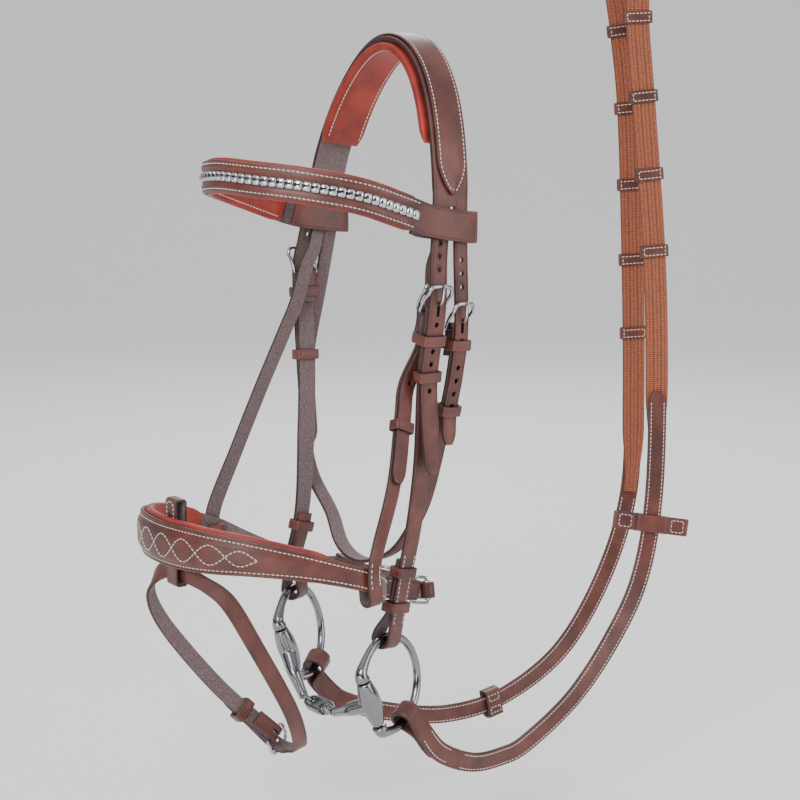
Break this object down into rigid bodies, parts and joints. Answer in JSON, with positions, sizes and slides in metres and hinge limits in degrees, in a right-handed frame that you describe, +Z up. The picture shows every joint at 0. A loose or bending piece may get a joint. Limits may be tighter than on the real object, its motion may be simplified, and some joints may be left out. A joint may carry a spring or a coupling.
{
  "type": "snaffle bridle",
  "caption": "Snaffle bridle: padded headpiece and browband, noseband with flash strap, throatlatch, bit with rings and a jointed mouthpiece, and leather and webbing reins.",
  "frame": {"origin": "the middle of the underside of the padded headpiece, where it rests on the horse's poll", "axes": "+Z up, -Y the way the horse faces, +X the horse's left (near) side"},
  "size_m": [0.2243, 0.5054, 0.7129],
  "materials": {
    "leather": "waxed, with creased edges",
    "lining": "soft padded leather",
    "webbing": "ribbed woven webbing",
    "clincher": "polished",
    "buckle_steel": "polished stainless",
    "bit_steel": "polished stainless"
  },
  "bodies": {
    "headstall": {"browband": "leather", "browband_clincher": "clincher", "browband_lining": "lining", "chin_buckle": "buckle_steel", "chin_keeper": "leather", "chin_link": "buckle_steel", "chin_strap": "leather", "crown_lining": "lining", "crown_overlay": "leather", "flash_loop": "leather", "headpiece": "leather", "near_bit_keeper_lower": "leather", "near_bit_keeper_upper": "leather", "near_cheek_buckle": "buckle_steel", "near_cheek_keeper_fixed": "leather", "near_cheekpiece": "leather", "near_hanger_buckle": "buckle_steel", "near_hanger_keeper": "leather", "near_noseband_billet": "leather", "near_noseband_hanger": "leather", "noseband": "leather", "noseband_lining": "lining", "off_bit_keeper_lower": "leather", "off_bit_keeper_upper": "leather", "off_cheek_buckle": "buckle_steel", "off_cheek_keeper_fixed": "leather", "off_cheekpiece": "leather", "off_noseband_hanger": "leather", "throat_buckle": "buckle_steel", "throat_keeper_fixed": "leather", "throatlatch": "leather"},
    "near_cheek_keeper": {"near_cheek_keeper_sliding": "leather"},
    "off_cheek_keeper": {"off_cheek_keeper_sliding": "leather"},
    "throat_keeper": {"throat_keeper_sliding": "leather"},
    "flash": {"flash_strap": "leather", "flash_buckle": "buckle_steel", "flash_keeper": "leather"},
    "reins": {"near_rein_leather": "leather", "off_rein_leather": "leather", "near_rein_webbing": "webbing", "off_rein_webbing": "webbing", "near_rein_end": "leather", "off_rein_end": "leather", "rein_buckle": "buckle_steel", "rein_end_keeper": "leather"},
    "near_cheek_tongue": {"near_cheek_tongue": "buckle_steel"},
    "off_cheek_tongue": {"off_cheek_tongue": "buckle_steel"},
    "throat_tongue": {"throat_tongue": "buckle_steel"},
    "near_hanger_tongue": {"near_hanger_tongue": "buckle_steel"},
    "chin_tongue": {"chin_tongue": "buckle_steel"},
    "flash_tongue": {"flash_tongue": "buckle_steel"},
    "rein_tongue": {"rein_tongue": "buckle_steel"},
    "chin_roller": {"chin_roller": "buckle_steel"},
    "near_ring": {"near_ring": "bit_steel"},
    "off_ring": {"off_ring": "bit_steel"},
    "near_cannon": {"near_cannon": "bit_steel"},
    "off_cannon": {"off_cannon": "bit_steel"},
    "lozenge": {"lozenge": "bit_steel"},
    "near_martingale_stop": {"near_martingale_stop": "leather"},
    "off_martingale_stop": {"off_martingale_stop": "leather"}
  },
  "joints": [
    {"name": "near_cheek_tongue", "type": "hinge", "parent": "headstall", "child": "near_cheek_tongue", "pos_m": [0.08011, -0.0343, -0.18894], "axis": [-0.003, 0.9982, -0.0594], "range_deg": [0, 45]},
    {"name": "off_cheek_tongue", "type": "hinge", "parent": "headstall", "child": "off_cheek_tongue", "pos_m": [-0.0801, -0.03402, -0.17128], "axis": [-0.0039, -0.997, 0.0771], "range_deg": [0, 45]},
    {"name": "throat_tongue", "type": "hinge", "parent": "headstall", "child": "throat_tongue", "pos_m": [0.07911, -0.01039, -0.20299], "axis": [0, 0.9998, -0.0217], "range_deg": [0, 45]},
    {"name": "near_hanger_tongue", "type": "hinge", "parent": "headstall", "child": "near_hanger_tongue", "pos_m": [0.06008, -0.02239, -0.19038], "axis": [0, 0.9998, -0.018], "range_deg": [0, 32]},
    {"name": "chin_tongue", "type": "hinge", "parent": "headstall", "child": "chin_tongue", "pos_m": [-0.02367, -0.01233, -0.4143], "axis": [0.1925, 0.1925, 0.9623], "range_deg": [0, 45]},
    {"name": "flash_tongue", "type": "hinge", "parent": "flash", "child": "flash_tongue", "pos_m": [-0.0089, -0.11716, -0.51818], "axis": [-0.1888, 0.7537, 0.6295], "range_deg": [0, 45]},
    {"name": "rein_tongue", "type": "hinge", "parent": "reins", "child": "rein_tongue", "pos_m": [0.01552, 0.23133, 0.11179], "axis": [0.5229, 0.8366, 0.1634], "range_deg": [0, 45]},
    {"name": "near_cheek_keeper_slide", "type": "slide", "parent": "headstall", "child": "near_cheek_keeper", "axis": [-0.1333, 0.0019, -0.9911], "range_m": [-0.012, 0.002]},
    {"name": "off_cheek_keeper_slide", "type": "slide", "parent": "headstall", "child": "off_cheek_keeper", "axis": [0.0945, -0.0502, -0.9943], "range_m": [-0.012, 0.002]},
    {"name": "throat_keeper_slide", "type": "slide", "parent": "headstall", "child": "throat_keeper", "axis": [-0.2057, -0.0811, -0.9753], "range_m": [-0.01, 0]},
    {"name": "chin_roller_turn", "type": "hinge", "parent": "headstall", "child": "chin_roller", "pos_m": [0.03901, -0.00406, -0.41328], "axis": [-0.2567, 0.0898, 0.9623], "continuous": true},
    {"name": "flash_swing", "type": "hinge", "parent": "headstall", "child": "flash", "pos_m": [-0.00562, -0.20111, -0.37461], "axis": [1, 0, 0], "range_deg": [-5, 4]},
    {"name": "near_ring_turn", "type": "hinge", "parent": "headstall", "child": "near_ring", "pos_m": [0.055, -0.0537, -0.4746], "axis": [0.9917, 0.0251, -0.1264], "range_deg": [-4, 4]},
    {"name": "off_ring_turn", "type": "hinge", "parent": "headstall", "child": "off_ring", "pos_m": [-0.0595, -0.0566, -0.46], "axis": [0.9917, 0.0251, -0.1264], "range_deg": [-4, 4]},
    {"name": "near_cannon_swivel", "type": "hinge", "parent": "near_ring", "child": "near_cannon", "pos_m": [0.0626, -0.0769, -0.48355], "axis": [0, -0.36, 0.933], "range_deg": [-4, 4]},
    {"name": "off_cannon_swivel", "type": "hinge", "parent": "off_ring", "child": "off_cannon", "pos_m": [-0.0465, -0.07761, -0.46811], "axis": [0, -0.36, 0.933], "range_deg": [-2.6, 2.6]},
    {"name": "lozenge_hinge", "type": "hinge", "parent": "near_cannon", "child": "lozenge", "pos_m": [0.011, -0.08, -0.5013], "axis": [0, -0.36, 0.933], "range_deg": [-17.6, 17.6]},
    {"name": "reins_swing", "type": "hinge", "parent": "headstall", "child": "reins", "pos_m": [-0.00225, -0.05515, -0.4673], "axis": [0.9917, 0.0251, -0.1264], "range_deg": [0, 6]},
    {"name": "near_martingale_stop_slide", "type": "slide", "parent": "reins", "child": "near_martingale_stop", "axis": [-0.043, 0.1996, 0.9789], "range_m": [-0.018, 0.024]},
    {"name": "off_martingale_stop_slide", "type": "slide", "parent": "reins", "child": "off_martingale_stop", "axis": [0.0944, 0.9782, 0.1848], "range_m": [-0.02, 0.02]}
  ],
  "couplings": [
    {"joint": "off_ring_turn", "follows": "near_ring_turn", "ratio": 1},
    {"joint": "off_cannon_swivel", "follows": "near_cannon_swivel", "ratio": 0.65},
    {"joint": "lozenge_hinge", "follows": "near_cannon_swivel", "ratio": -4.4}
  ]
}
